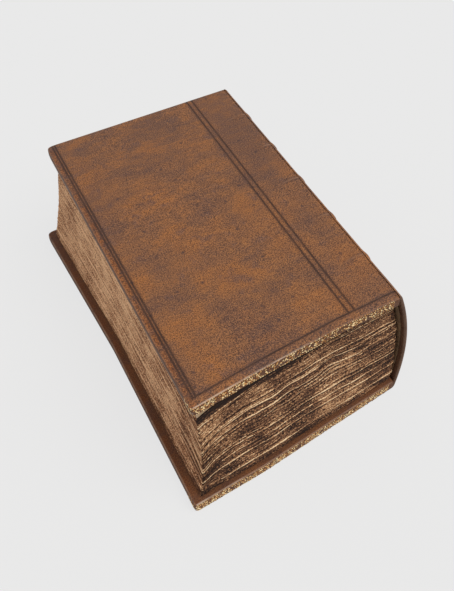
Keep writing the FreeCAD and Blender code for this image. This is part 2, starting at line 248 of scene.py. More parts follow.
# %% Camera
FOCAL_PIXELS = 740.687
PICTURE = (454, 591)
AXIS_AT = (277.0, 250.5)
TURN = np.array([[0.86271, -0.50565, -0.00676],
                 [-0.37113, -0.62400, -0.68767],
                 [0.34350, 0.59577, -0.72600]])
SENSOR = 36.0
lens = bpy.data.cameras.new("camera")
lens.sensor_fit = "AUTO"
lens.sensor_width = SENSOR
lens.lens = FOCAL_PIXELS / PICTURE[1] * SENSOR
lens.shift_x = (PICTURE[0] / 2 - AXIS_AT[0]) / PICTURE[1]
lens.shift_y = (AXIS_AT[1] - PICTURE[1] / 2) / PICTURE[1]
lens.clip_start, lens.clip_end = 0.01, 20.0
camera = bpy.data.objects.new("camera", lens)
place = Matrix([[TURN[0][k], -TURN[1][k], -TURN[2][k], 0.0] for k in range(3)] + [[0, 0, 0, 1]])
place.translation = (-0.080610, -0.191038, 0.253086)
camera.matrix_world = place
bpy.context.scene.collection.objects.link(camera)
bpy.context.scene.camera = camera
print("lens %.1f mm, shift %.3f %.3f" % (lens.lens, lens.shift_x, lens.shift_y))

# %% Light and floor
ROOM_GIVES, ROOM_SEEN, FLOOR_GLOW = 0.635, 0.88, 0.89
scene = bpy.context.scene
scene.view_settings.view_transform = "Standard"
room = bpy.data.worlds.new("pale_room")
room.use_nodes = True
scene.world = room
tree = room.node_tree
seen = add(tree, "LightPath")
level = add(tree, "Mix", {"data_type": "FLOAT"}, i0=seen.outputs["Is Camera Ray"],
            i2=ROOM_GIVES, i3=ROOM_SEEN)
wire(tree, tree.nodes["Background"], Color=linear("#f4f4f4"), Strength=level.outputs[0])

lamp = bpy.data.lights.new("large_soft_lamp", "SUN")
lamp.energy = 1.66
lamp.angle = math.radians(50)
lamp.color = (1.0, 0.985, 0.965)
sun = bpy.data.objects.new("large_soft_lamp", lamp)
sun.matrix_world = Vector((-0.42, 0.40, -0.81)).to_track_quat("-Z", "Y").to_matrix().to_4x4()
scene.collection.objects.link(sun)

bpy.ops.mesh.primitive_plane_add(size=6.0)
floor = bpy.context.object
floor.name = "floor"
paper, tree, shader = finish("pale_studio_paper")
shade = add(tree, "TexNoise", Scale=3.0, Detail=1.0)
tone = add(tree, "ValToRGB", stops=[(0.3, "#e9e9e9"), (0.7, "#ebebeb")], Fac=shade.outputs[0])
wire(tree, shader, Base_Color=tone.outputs["Color"], Roughness=0.9, Specular_IOR_Level=0.1)
seen = add(tree, "LightPath")
glow = add(tree, "Emission", Color=linear("#e9e9e9"), Strength=1.0)
share = add(tree, "Math", {"operation": "MULTIPLY"},
            i0=seen.outputs["Is Camera Ray"], i1=FLOOR_GLOW)
mixed = add(tree, "MixShader", i0=share.outputs[0],
            i1=shader.outputs["BSDF"], i2=glow.outputs["Emission"])
wire(tree, tree.nodes["Material Output"], Surface=mixed.outputs["Shader"])
floor.data.materials.append(paper)
print("lamp from", [round(v, 2) for v in sun.matrix_world.col[2][:3]], "with power", lamp.energy)

# %% [markdown]
# ## Calf
#
# Calf is a smooth, close-grained skin. The binder sprinkled it with dark stain before it was polished,
# and two or three centuries have turned it patchy: orange-brown where hands polished it, purplish where
# it is dry. Blind lines were pressed in with a warm tool, which also darkened them. Along the arrises
# the dark surface has worn off, and the pale flesh of the skin shows.
#
# The material reads three marks of the mesh: `place`, the point at rest in mm, `sides`, the distances
# from the tail, fore and joint edges, and `wear`, of which it reads the depth under the outer face and
# how much an arris is worn; its first number is the distance from the head edge, where no line was left
# to draw. So a line lies at a true distance from its edge. `stain` lays one colour over another, and
# `strength` says how much of it, so the finish reads as the list of what happened to the skin.

# %% Layers of stain
def strength(tree, *factors):
    """Product of factors. Each is a link, or (value, low, high, first, last) for a number that goes
    from first to last as the value goes from low to high."""
    product = None
    for factor in factors:
        if isinstance(factor, tuple):
            value, low, high, first, last = factor
            factor = add(tree, "MapRange", Value=value, From_Min=low, From_Max=high,
                         To_Min=first, To_Max=last).outputs["Result"]
        product = factor if product is None else add(
            tree, "Math", {"operation": "MULTIPLY"}, i0=product, i1=factor).outputs[0]
    return product


def apart(tree, number, at):
    """|number - at|."""
    off = add(tree, "Math", {"operation": "SUBTRACT"}, i0=number, i1=at).outputs[0]
    return add(tree, "Math", {"operation": "ABSOLUTE"}, i0=off).outputs[0]


def stain(tree, colour, code, *factors):
    """The colour with that of the code over it, as strong as the product of the factors."""
    return add(tree, "Mix", {"data_type": "RGBA"}, i0=strength(tree, *factors),
               i6=colour, i7=linear(code)).outputs[2]


# %% Lines and creases of a cover
CORD_AT = [24.0 + 24.6 * i for i in range(5)]


def blind_lines(tree, colour, tail, fore, joint, outside, patches):
    """The colour with the pressed lines of a cover, and how much each point is pressed. The distance
    from a line is |distance from the edge - place of the line|, or how far the point is past the line's
    end, if that is more, and the nearest line counts."""
    rules = ((tail, 3.5, fore, 2.1), (fore, 2.3, tail, 3.4), (fore, 3.4, tail, 3.4),
             (joint, 17.2, tail, 3.4), (joint, 19.6, tail, 3.4))
    close = None
    for distance, at, other, least in rules:
        off = apart(tree, distance, at)
        past = add(tree, "Math", {"operation": "SUBTRACT"}, i0=least, i1=other).outputs[0]
        off = add(tree, "Math", {"operation": "MAXIMUM"}, i0=off, i1=past).outputs[0]
        close = off if close is None else add(
            tree, "Math", {"operation": "MINIMUM"}, i0=close, i1=off).outputs[0]
    # A line is dark where it is pressed, 0.3 mm to each side, and burnished to 1 mm from it.
    colour = stain(tree, colour, "#4a3129", (close, 0.3, 1.3, 0.42, 0.0), outside)
    lines = strength(tree, (close, 0.18, 0.45, 1.0, 0.0), outside)
    return stain(tree, colour, "#38261f", lines, (patches, 0.3, 0.6, 0.45, 0.85)), lines


def cord_creases(tree, colour, joint, outside, towards_head, bruises):
    """The colour with a pale, dark-sided ridge where a cord enters the board and creased the skin."""
    nearest = None
    for at in CORD_AT:
        off = apart(tree, towards_head, float(FRONT[3][1]) + at)
        nearest = off if nearest is None else add(
            tree, "Math", {"operation": "MINIMUM"}, i0=nearest, i1=off).outputs[0]
    reach = strength(tree, (joint, 4.0, 9.5, 1.0, 0.0), outside, (bruises, 0.42, 0.58, 0.25, 1.0))
    colour = stain(tree, colour, "#493430", (nearest, 0.5, 1.8, 0.55, 0.0), reach)
    return stain(tree, colour, "#9c7358", (nearest, 0.15, 0.6, 0.65, 0.0), reach)


print("cords at", [round(at, 1) for at in CORD_AT], "mm from the tail end of the joint")


# %% Calf material
def calf_finish(ruled, edge_colour):
    """Sprinkled, polished and worn calf. ruled adds the blind lines of a cover."""
    material, tree, shader = finish("sprinkled_calf_ruled" if ruled else "sprinkled_calf")
    point, sides, wear = [add(tree, "Attribute", {"attribute_name": mark}).outputs["Vector"]
                          for mark in ("place", "sides", "wear")]
    tail, fore, joint = add(tree, "SeparateXYZ", Vector=sides).outputs
    depth, arris = add(tree, "SeparateXYZ", Vector=wear).outputs[1:]
    towards_head, height = add(tree, "SeparateXYZ", Vector=point).outputs[1:]

    # Stains tens of mm wide, streaky patches of 9 by 4 mm that follow the sponge across the book,
    # bruises of a few mm, and sprinkled drops about 0.4 mm across.
    across = add(tree, "Mapping", Vector=point, Scale=(1 / 9, 1 / 4.2, 1 / 5)).outputs[0]
    stains, patches, bruises, drops = [
        add(tree, "TexNoise", Vector=at, Scale=scale, Detail=detail,
            Roughness=rough).outputs["Fac"]
        for at, scale, detail, rough in ((point, 1 / 24, 3.0, 0.6), (across, 1.0, 5.0, 0.65),
                                         (point, 1 / 5.5, 3.0, 0.6), (point, 1 / 0.40, 2.0, 0.7))]
    grain = add(tree, "TexVoronoi", Vector=point, Scale=1 / 0.7)
    warm = add(tree, "ValToRGB", Fac=stains,
               stops=[(0.37, "#60443d"), (0.50, "#8b5c3d"), (0.62, "#a66734")])
    mottle = add(tree, "ValToRGB", Fac=patches,
                 stops=[(0.33, "#5f443d"), (0.50, "#8d5e3e"), (0.65, "#aa6d3c")])
    colour = add(tree, "Mix", {"data_type": "RGBA"}, i0=0.45,
                 i6=warm.outputs["Color"], i7=mottle.outputs["Color"]).outputs[2]
    # The fore edge of a cover was handled most: a band of clear orange-brown.
    colour = stain(tree, colour, "#914f22", (fore, 1.8, 3.2, 0.75, 0.0),
                   (patches, 0.36, 0.60, 0.15, 1.0))
    # Along the joint the skin is drier and more purple. Towards the head it is painted greyer and more
    # purple, a painted sheen.
    colour = stain(tree, colour, "#5c4340", (joint, 16.0, 17.4, 0.18 if ruled else 0.0, 0.0))
    colour = stain(tree, colour, "#65483f", (towards_head, -10.0, 78.0, 0.0, 0.85),
                   (patches, 0.40, 0.60, 1.0, 0.25))
    # Bruises, sprinkled drops, and the pale skin between the drops.
    for code, reading, low, high, most in (("#59474a", bruises, 0.57, 0.70, 0.50),
                                           ("#422e25", drops, 0.49, 0.60, 0.92),
                                           ("#b88050", drops, 0.48, 0.36, 0.62)):
        colour = stain(tree, colour, code, (reading, low, high, 0.0, most))

    # A few spots of ink or wax about 1 mm across, some 12 mm apart, on less than half of the cells.
    blot = add(tree, "TexVoronoi", {"voronoi_dimensions": "2D"}, Vector=point, Scale=1 / 12)
    chosen = add(tree, "SeparateXYZ", Vector=blot.outputs["Color"]).outputs[0]
    chosen = add(tree, "Math", {"operation": "GREATER_THAN"}, i0=chosen, i1=0.58).outputs[0]
    colour = stain(tree, colour, "#3d3033", (blot.outputs["Distance"], 0.03, 0.075, 0.62, 0.0), chosen)

    lines = None
    if ruled:
        outside = add(tree, "Math", {"operation": "LESS_THAN"}, i0=depth, i1=0.6).outputs[0]
        colour, lines = blind_lines(tree, colour, tail, fore, joint, outside, patches)
        colour = cord_creases(tree, colour, joint, outside, towards_head, bruises)

    # The board edges are dark with handling. The turn-ins are painted darker, as painted shade of the
    # leaves over them.
    colour = stain(tree, colour, edge_colour, (depth, 0.45, 0.8, 0.0, 0.85),
                   (depth, 4.35, 4.7, 1.0, 0.0))
    colour = stain(tree, colour, "#4d2915", (depth, 4.5, 4.78, 0.0, 0.55))
    # The lower half of the front board's fore edge is rubbed down to the grey flesh of the skin.
    colour = stain(tree, colour, "#9b8470", (fore, 0.5, 0.9, 0.62, 0.0), (depth, 2.2, 2.7, 0.0, 1.0),
                   (height, 30.0, 31.0, 0.0, 1.0), (patches, 0.34, 0.5, 0.0, 1.0))
    # The arrises are rubbed pale in broken stretches. The one on the table is painted nearly black, a
    # painted contact shadow with some dirt.
    colour = stain(tree, colour, "#c4ab95", (patches, 0.36, 0.52, 0.35, 1.0), arris)
    colour = stain(tree, colour, "#17110d", (height, 0.25, 0.95, 0.85, 0.0))

    # Bumps for pores, dents and the pressed lines. Polished skin is a little shinier than dry skin.
    bump = add(tree, "Bump", Strength=0.35, Distance=0.00008, Height=grain.outputs["Distance"])
    bump = add(tree, "Bump", Strength=0.5, Distance=0.0004, Height=patches,
               Normal=bump.outputs["Normal"])
    if ruled:
        bump = add(tree, "Bump", {"invert": True}, Strength=0.8, Distance=0.0002, Height=lines,
                   Normal=bump.outputs["Normal"])
    wire(tree, shader, Base_Color=colour, Roughness=strength(tree, (patches, 0.3, 0.7, 0.50, 0.64)),
         Specular_IOR_Level=0.24, Normal=bump.outputs["Normal"])
    return material


cover_calf = calf_finish(True, "#55341f")
spine_calf = calf_finish(False, "#4a2f20")
print("calf on the covers and on the spine")

# %% [markdown]
# ## The covers
#
# Each cover is a pasteboard wrapped in calf. The leather goes over the three free edges and 13 mm in on
# the inside, where the pastedown covers most of it. It could be cut from a box with bevels, but an old
# cover has no straight edge left, so it is a profile carried round the outline: every row of the grid
# is the outline moved inwards by some gap at some depth, and the corners at the fore edge are worn
# round by averaging neighbouring points. Low swellings near the joint are the laced-in cord ends under
# the leather.

# %% Rows of a cover
PER_SIDE = (36, 40, 32, 150, 110, 96, 92)
POINT_STEP = 0.8


def round_trip(points):
    """Points along an outline, side by side, each averaged with its neighbours: over 2 mm at the head
    and fore corner, which is worn round, over 1 mm elsewhere, and not at all at the joint."""
    ahead = np.roll(points, -1, axis=0)
    path = np.concatenate([a + (b - a) * (np.arange(n) / n)[:, None]
                           for a, b, n in zip(points, ahead, PER_SIDE)])
    worn, rounded = [averaged(path, 8, POINT_STEP, wear, 0) for wear in (1.0, 2.0)]
    first, last = sum(PER_SIDE[:3]), sum(PER_SIDE[:4])
    order = np.arange(len(path))
    rounder = ease(2 - np.abs(order - sum(PER_SIDE[:5])) / 10)[:, None]
    soft = worn * (1 - rounder) + rounded * rounder
    off = np.minimum(np.abs(order - first), np.abs(order - last))
    keep = ease((off - 2) / 8)[:, None]
    return path * (1 - keep) + soft * keep


def away_from(points, plan, kind):
    """Distance in mm of plan points from one side of an outline, positive inside. It is the step from
    the side's bent line at the same place along it, times the cosine of the side's slope."""
    order = {"tail": (0, 1, 2, 3), "joint": (3, 4), "head": (5, 4), "fore": (0, 6, 5)}[kind]
    a, b = (0, 1) if kind in ("tail", "head") else (1, 0)
    line = points[list(order)]
    straight = math.cos(math.atan((line[-1, b] - line[0, b]) / (line[-1, a] - line[0, a])))
    inward = -1 if kind in ("head", "joint") else 1
    return inward * (plan[..., b] - np.interp(plan[..., a], line[:, a], line[:, b])) * straight


def cover_rows(corners):
    """Grid of a cover: rows from the middle of the outer face over the edges to the middle of the
    inside. Each row is (gap, depth): flat, a quarter circle, a side that stands out as a half wave of
    0.1 mm, a quarter circle, flat, and the well. More rows draw both ends in to the middle."""
    top_round, low_round, full, filling = 0.75, 0.65, 0.10, 18
    turn = np.radians(np.linspace(90, 0, 6))
    steps = [(g, 0.0) for g in np.linspace(TURN_IN, 4.6, 7)]
    steps += [(g, 0.0) for g in (4.0, 3.4, 2.8, 2.2, 1.6, 1.1)]
    steps += [(top_round * (1 - math.cos(a)), top_round * (1 - math.sin(a))) for a in turn]
    steps += [(-full * math.sin(math.pi * s), top_round + (COVER - top_round - low_round) * s)
              for s in np.linspace(0.12, 0.88, 6)]
    steps += [(low_round * (1 - math.sin(a)), COVER - low_round * (1 - math.cos(a))) for a in turn]
    steps += [(g, COVER) for g in (1.2, 2.0, 4.0, 8.0, TURN_IN)]
    steps += [(TURN_IN + 0.1, COVER - 0.15), (TURN_IN + 0.15, WELL)]
    plans, depths = [], []
    for gap, depth in steps:
        joint_gap = gap if gap > 1.0 and depth < 0.1 else 0.0
        plan = round_trip(inset(corners, tail=gap, head=gap, fore=gap, joint=joint_gap))
        plans.append(plan)
        depths.append(np.full(len(plan), depth))
    plans, depths = np.array(plans), np.array(depths)
    middle = corners.mean(axis=0)
    out = np.linspace(0.05, 0.95, filling)[:, None, None]
    back = out[::-4]
    plans = np.concatenate([middle + (plans[0] - middle) * out, plans,
                            middle + (plans[-1] - middle) * back])
    depths = np.concatenate([np.zeros((filling,) + depths.shape[1:]), depths,
                             np.full((len(back),) + depths.shape[1:], WELL)])
    away = {kind: away_from(corners, plans, kind) for kind in ("tail", "head", "fore", "joint")}
    inner = np.minimum(np.minimum(away["tail"], away["head"]), away["fore"]) > TURN_IN - 0.2
    depths = np.where(inner & (depths > WELL), WELL, depths)
    return plans, depths, away


print("points round a cover:", sum(PER_SIDE))


def make_cover(name, corners, front, seed):
    """Calf of one cover. Its outer face waves by 0.12 mm, sinks 0.22 mm towards the edges over 3.6 mm,
    and rises 0.55 mm over each cord as exp(-(u^2 + v^2)), with u = x / 2.6 mm and v = y / 1.9 mm from
    its middle. The wear of an arris is exp(-(depth from it / 0.25 mm)^2) times how much that stretch of
    it is rubbed in the photograph."""
    plans, depths, away = cover_rows(corners)
    x, y = plans[..., 0], plans[..., 1]
    nearest = np.minimum(np.minimum(away["tail"], away["head"]), away["fore"])
    outer = ease((0.5 - depths) / 0.4)
    sink = outer * (0.06 + 0.06 * cloud(x / 17, y / 17, seed)
                    + 0.22 * ease((3.6 - nearest) / 3.6) ** 1.5)
    sink += 0.12 * ease((0.5 - away["joint"]) / 0.5) * outer
    if front:
        start, end = corners[3], corners[4]
        way = (end - start) / np.linalg.norm(end - start)
        for at in CORD_AT:
            spot = start + way * at + np.array([-way[1], way[0]]) * 3.2
            square = ((x - spot[0]) / 2.6) ** 2 + ((y - spot[1]) / 1.9) ** 2
            sink -= 0.55 * np.exp(-square) * outer
    level = np.where(front, TOP - depths - sink, depths + sink)
    rows = np.stack([x, y, level], axis=-1)
    close = ease((0.62 - nearest) / 0.3)
    outer_arris = np.exp(-((depths - 0.22) / 0.24) ** 2) * close
    inner_arris = np.exp(-((depths - COVER + 0.2) / 0.26) ** 2) * close
    on_tail = away["tail"] <= np.minimum(away["fore"], away["head"])
    on_fore = away["fore"] < np.minimum(away["tail"], away["head"])
    if front:
        worn = outer_arris * np.where(on_tail, 0.12 + 0.88 * ease((50 - away["fore"]) / 14), 0.15)
        worn += inner_arris * np.where(on_fore, 0.85, 0.0)
    else:
        worn = inner_arris * np.where(on_tail, 0.25 + 0.6 * ease((22 - away["fore"]) / 6), 0.3)
        worn += outer_arris * np.where(on_fore, 0.45, 0.0)
    worn = np.where(away["joint"] < 0.2, 0.0, worn)
    marks = {"place": rows, "sides": np.stack([away["tail"], away["fore"], away["joint"]], axis=-1),
             "wear": np.stack([away["head"], depths, worn], axis=-1)}
    piece = skin(name, rows, marks=marks)
    piece.data.materials.append(cover_calf)
    return piece


# %% Both covers
front_calf = make_cover("front_cover_calf", FRONT, True, 5)
back_calf = make_cover("back_cover_calf", BACK, False, 8)
for piece, side in ((front_calf, "front"), (back_calf, "back")):
    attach(piece, side + "_cover")
    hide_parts(side + "_cover_leather")

# %% [markdown]
# ## The spine
#
# The spine is one piece of calf that goes from joint to joint over five raised cords. At the tail and
# the head it is folded in over itself, so its ends are rounded and twice as thick. It is built the
# other way round from the covers: a closed profile seen from the side, with a bump over each cord, is
# carried along the arc from the back joint to the front joint. Its two borders lie on the joint lines,
# so the crease stays shut while a cover turns.

# %% Spine calf
LENGTH = 145.3
RISE, SHOULDER, SHOULDER_WIDE = 4.3, 1.1, 1.6
SLOPE_STEP = 0.05


def spine_at(share, height):
    """Plan point at a share of the way to the head, at a height: straight between the two joints."""
    low = BACK[3] + (BACK[4] - BACK[3]) * share[..., None]
    high = FRONT[3] + (FRONT[4] - FRONT[3]) * share[..., None]
    return low + (high - low) * (height / TOP)[..., None]


def bulge(height):
    """How far the arc stands out: a parabola of 4.3 mm, and a quarter ellipse at each shoulder."""
    near = np.clip(np.minimum(height, TOP - height), 0, SHOULDER_WIDE)
    shoulder = SHOULDER * np.sqrt(np.clip(1 - (1 - near / SHOULDER_WIDE) ** 2, 0, 1))
    return RISE * (1 - (2 * height / TOP - 1) ** 2) + shoulder


def spine_rows():
    """Rows run from the back joint to the front joint, columns round the profile: outside, head fold,
    inside, tail fold. A point stands out by its band over a cord, exp(-|u / 1.9|^2.4), less its depth
    in the skin, square to the arc, whose slope is the difference of the bulge over 0.1 mm."""
    near = SHOULDER_WIDE * (1 - np.cos(np.radians(np.linspace(8, 90, 8))))
    height = np.concatenate([[0.02], near, np.linspace(2.3, TOP - 2.3, 64), TOP - near[::-1],
                             [TOP - 0.02]])
    start, stop, fold_long, fold_deep = 0.9, LENGTH - 0.9, 0.85, 0.75
    outer = np.linspace(start, stop, 260)
    fold = np.radians(np.linspace(80, -80, 9))
    inner = np.linspace(stop, start, 60)
    thick = 0.8 + 0.7 * np.maximum(ease((11 - inner) / 2), ease((inner - LENGTH + 11) / 2))
    out = fold_long * np.cos(fold)
    at = np.concatenate([outer, stop + out, inner, start - out])
    deep = np.concatenate([0 * outer, fold_deep - fold_deep * np.sin(fold), thick,
                           fold_deep + fold_deep * np.sin(fold)])
    h, a = np.meshgrid(height, at, indexing="ij")
    d = np.broadcast_to(deep, h.shape).copy()
    band = sum(np.exp(-np.abs((a - c) / 1.9) ** 2.4) for c in CORD_AT)
    edge = np.minimum(h, TOP - h)
    raised = 0.8 * band * (0.25 * ease(edge / 0.4) + 0.75 * ease(edge / 3.5)) * (d < 0.01)
    raised += 0.10 * cloud(a / 9, h / 7, 12) * (d < 0.01) * ease(edge / 2)
    plan = spine_at(a / LENGTH, h)
    slope = np.clip((bulge(h + SLOPE_STEP) - bulge(h - SLOPE_STEP)) / (2 * SLOPE_STEP), -6, 6)
    size = np.sqrt(1 + slope ** 2)
    stand = raised - d
    x = plan[..., 0] + bulge(h) + stand / size
    z = np.clip(h - stand * slope / size, 0.0, TOP)
    return np.stack([x, plan[..., 1], z], axis=-1), a, h, d, band


rows, a, h, d, band = spine_rows()
edge = np.minimum(h, TOP - h)
end = np.minimum(a, LENGTH - a)
rubbed = 0.10 * band * ease(edge / 6) * (d < 0.1) + 0.12 * np.exp(-((end - 0.4) / 0.5) ** 2)
# Its marks keep it clear of what the calf does near the fore edge and the joint of a cover.
spine = skin("spine_calf", rows, marks={
    "place": rows, "sides": np.stack([a + 4, np.full_like(a, 60.0), edge + 30], axis=-1),
    "wear": np.stack([LENGTH - a + 4, np.where(d > 0.05, 2.4, 0.0), rubbed], axis=-1)})
spine.data.materials.append(spine_calf)
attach(spine, "book_block")
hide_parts("spine_leather")

# %% [markdown]
# ## The leaves
#
# Old rag paper swells and shrinks with the weather, and leaves that were dipped, folded and sewn in
# gatherings end up cockled: their edges run in waves, some stand out, and dust settles between them.
# The edges that stand out are painted pale as a highlight, and the row under each is painted dark as
# its shadow. At the corner nearest the viewer the leaves droop, and leave a gap under the cover that
# is dark, partly with painted shade.
#
# Boxes for single leaves would be flat and far too many. The block is one surface whose rows are the
# leaf edges themselves: each row follows its own wave up and down, and steps in and out at random, so
# relief and colour follow the leaves. The mark `leaf` keeps how far along the edge a point is, how far
# up the leaves it is, and its tone; `edge` says how much it belongs to the darker tail and how far it
# is from the corner.

# %% Outline of the leaves
BLOCK_LOW, BLOCK_HIGH = 5.35, 46.55
LEAF_ROWS = 176
ROW_HEIGHT, LEAF_STEP, CORNER_WEAR = 0.234, 0.75, 0.9
LEAF_SIDES = (52, 56, 46, 40, 96, 96, 92)


def droop(x, y):
    """How far the top leaf hangs down at a plan point: 8 mm at the tail and fore corner, half of it
    fading within about 9 mm and the rest within 60 mm along the tail and 18 mm along the fore edge."""
    corner = FRONT[0] + np.array([1.5, 3.1])
    along, across = np.abs(x - corner[0]), np.abs(y - corner[1])
    return 4.2 * np.exp(-along / 9 - across / 9) + 4.0 * np.exp(-along / 60 - across / 18)


def block_corners(share):
    """The seven corners of the leaves at a share of the block's height. The spine side follows the arc,
    2.1 mm inside its skin, and the fore edge is hollow by 1 mm, both as parabolas."""
    low = inset(BACK, tail=1.7, head=3.0, fore=3.1)
    high = inset(FRONT, tail=3.1, head=3.0, fore=2.0)
    s = share[:, None, None]
    corners = low + (high - low) * s
    height = BLOCK_LOW + (BLOCK_HIGH - BLOCK_LOW) * share
    reach = RISE * (1 - (2 * height / TOP - 1) ** 2) + 0.9 - 2.1
    for k, before in ((3, 2), (4, 5)):
        way = corners[:, k] - corners[:, before]
        corners[:, k] += way / np.abs(way[:, :1]) * reach[:, None]
    corners[:, (0, 5, 6), 0] += (1 - (2 * share - 1) ** 2)[:, None]
    return corners


share = np.linspace(0, 1, LEAF_ROWS)
corners = block_corners(share)
ahead = np.roll(corners, -1, axis=1)
plan = np.concatenate([corners[:, k:k + 1] + (ahead[:, k:k + 1] - corners[:, k:k + 1])
                       * (np.arange(n) / n)[None, :, None] for k, n in enumerate(LEAF_SIDES)], axis=1)
plan = averaged(plan, 4, LEAF_STEP, CORNER_WEAR, 1)
kind = np.broadcast_to(np.repeat(np.arange(7), LEAF_SIDES), plan.shape[:2])
tail_side, spine_side, head_side, fore_side = kind < 3, kind == 3, kind == 4, kind > 4
tangent = np.roll(plan, -1, axis=1) - np.roll(plan, 1, axis=1)
step = np.linalg.norm(tangent, axis=2)
outward = np.stack([tangent[..., 1], -tangent[..., 0]], axis=-1) / step[..., None]
run = np.cumsum(step, axis=1) / 2
run = run - run[:, :1]
leaf = np.repeat(np.arange(LEAF_ROWS, dtype=float)[:, None], plan.shape[1], axis=1)
deep = share[:, None]
from_corner = np.minimum(run, run[:, -1:] - run)
print("rows of leaves:", LEAF_ROWS, "with", plan.shape[1], "points each")


# %% Waves, steps and curls of the leaves
def by_side(at_tail, at_head, elsewhere):
    """A number for each point by the side of the block that it lies on."""
    return np.where(tail_side, at_tail, np.where(head_side, at_head, elsewhere))


# The leaves run in waves, and sag in a chevron at the corner of tail and fore edge.
wave = 1.25 * cloud(run / 14 + 3, deep * 3.0, 21) + 0.75 * cloud(run / 6.0, deep * 6.0, 22)
wave = wave * np.sin(np.pi * deep) ** 0.6 * by_side(1.0, 0.8, 0.35)
chevron = 5.2 * np.exp(-(from_corner / np.where(tail_side, 5.0, 3.2)) ** 1.15)
chevron = (chevron + np.where(tail_side, 1.6, 0.4) * np.exp(-from_corner / 26)) * np.sin(np.pi * deep)
high_end = BLOCK_HIGH - droop(plan[..., 0], plan[..., 1])
level = BLOCK_LOW + (high_end - BLOCK_LOW) * deep + wave - chevron

# Leaves step in and out one by one, in small bundles, and in gatherings of about seven rows.
single = cloud(leaf * 0.93, run / 8 + leaf * 0.05, 31)
bundle = cloud(leaf * 0.31, run / 22, 32)
ragged = cloud(leaf * 1.7, run / 2.2, 33)
fold = np.cos(2 * np.pi * leaf / 7.3 + 1.2 * cloud(run / 30, leaf / 9, 34))
stand = 0.16 * single + 0.14 * bundle + 0.05 * ragged - 0.13 * (fold > 0.80)
stand = np.where(spine_side, 0.0, stand * by_side(1.35, 1.2, 0.75) - 0.25)
# About one row in ten stands out as a crest, painted pale as a highlight, and the second row under
# it is painted dark as its shadow.
chance = np.random.default_rng(77)
strong = (chance.random(LEAF_ROWS) > 0.90) * chance.uniform(0.6, 1.0, LEAF_ROWS)
strong = np.convolve(strong, [0.35, 1.0, 0.25], "same")
below = np.roll(strong, -2)
crest = strong[:, None] * np.clip(0.75 + 0.7 * cloud(leaf * 0.9, run / 16, 35), 0, 1.2)
stand = stand + np.where(spine_side, 0.0, 0.20 * crest)
# The tips of the leaves curl out at the corner of tail and fore edge, a few leaves at a time.
curl = np.exp(-from_corner / 1.5) * np.cos(2 * np.pi * leaf / 6.1 + 1.5 * cloud(leaf / 14, 0 * run, 37))
stand = stand + 0.28 * curl
rows = np.concatenate([plan + outward * stand[..., None], level[..., None]], axis=-1)
print("leaf edges stand from %.2f to %.2f mm out" % (stand.min(), stand.max()))

# %% Tones of the leaves
# Painted highlight and shade: what stands out, the crests and the curled tips, is painted pale, the
# second row under a crest is painted dark as its shadow, and the first and last leaves are dark.
tone = 0.35 + 0.15 * single + 0.07 * bundle + 0.17 * ragged
tone = tone + 0.75 * crest - 0.34 * below[:, None] + 0.26 * curl
tone = tone - np.where(tail_side, 0.30, 0.10) * ease((deep - 0.90) / 0.09)
tone = tone - 0.12 * ease((0.07 - deep) / 0.05)
# Damp has stained the tail dark in clouds and next to the spine, most of all low down. Under the
# front board the top of the tail is painted dark as the board's shade, and dust has settled low down
# and near the corner. The fore edge is paler, but not near its tail end.
stained = 1.2 * ease((run - 44) / 30) * (1.0 - 0.45 * ease((deep - 0.25) / 0.35))
stained = stained + np.clip(cloud(run / 11, leaf / 24, 36), 0, 1.5)
painted_shade = 0.36 * ease((7.6 - 0.035 * run - (BLOCK_HIGH - level)) / 1.4) * ease((run - 0.8) / 2.5)
dusty = 0.10 * ease((0.55 - deep) / 0.4) * ease((60 - run) / 30) + 0.06 * ease((34 - run) / 20)
tone = np.where(tail_side, tone - 0.11 * stained - painted_shade - dusty, tone)
tone = np.where(tail_side, tone, 0.49 + (0.85 + 1.1 * np.exp(-from_corner / 12)) * (tone - 0.38)
                - 0.30 * np.exp(-from_corner / 26) + 0.08 * np.exp(-((from_corner - 75) / 30) ** 2))
up_leaves = leaf * ROW_HEIGHT + np.where(fore_side, 0.035, 0.0) * from_corner
leaves_marks = {"leaf": np.stack([run, up_leaves, tone], axis=-1),
                "edge": np.stack([by_side(1.0, 0.6, 0.0), from_corner, deep + 0 * run], axis=-1)}
print("tones from %.2f to %.2f" % (tone.min(), tone.max()))


# %% Leaf block mesh and paper edge material
def capped(rows, marks):
    """Rows with four more at each end to close the block: its border drawn in, at its own level."""
    middle = rows.mean(axis=1, keepdims=True)
    shares = np.array([0.94, 0.7, 0.4, 0.15])
    low = middle[0] + (rows[0] - middle[0]) * shares[::-1, None, None]
    high = middle[-1] + (rows[-1] - middle[-1]) * shares[:, None, None]
    low[..., 2] = BLOCK_LOW
    high[..., 2] = BLOCK_HIGH - droop(high[..., 0], high[..., 1])
    full = np.concatenate([low, rows, high])
    more = {key: np.concatenate([np.repeat(m[:1], len(low), axis=0), m,
                                 np.repeat(m[-1:], len(high), axis=0)])
            for key, m in marks.items()}
    more["place"] = full
    return full, more


full, full_marks = capped(rows, leaves_marks)
block = skin("leaf_block", full, marks=full_marks)
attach(block, "book_block")
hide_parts("text_block")

rag, tree, shader = finish("browned_rag_paper_edges")
leaf_mark, edge_mark, point = [
    add(tree, "Attribute", {"attribute_name": mark}).outputs["Vector"]
    for mark in ("leaf", "edge", "place")]
parts = add(tree, "SeparateXYZ", Vector=leaf_mark).outputs
at_tail = add(tree, "SeparateXYZ", Vector=edge_mark).outputs[0]
flat = add(tree, "CombineXYZ", X=parts[0], Y=parts[1], Z=0.0).outputs["Vector"]
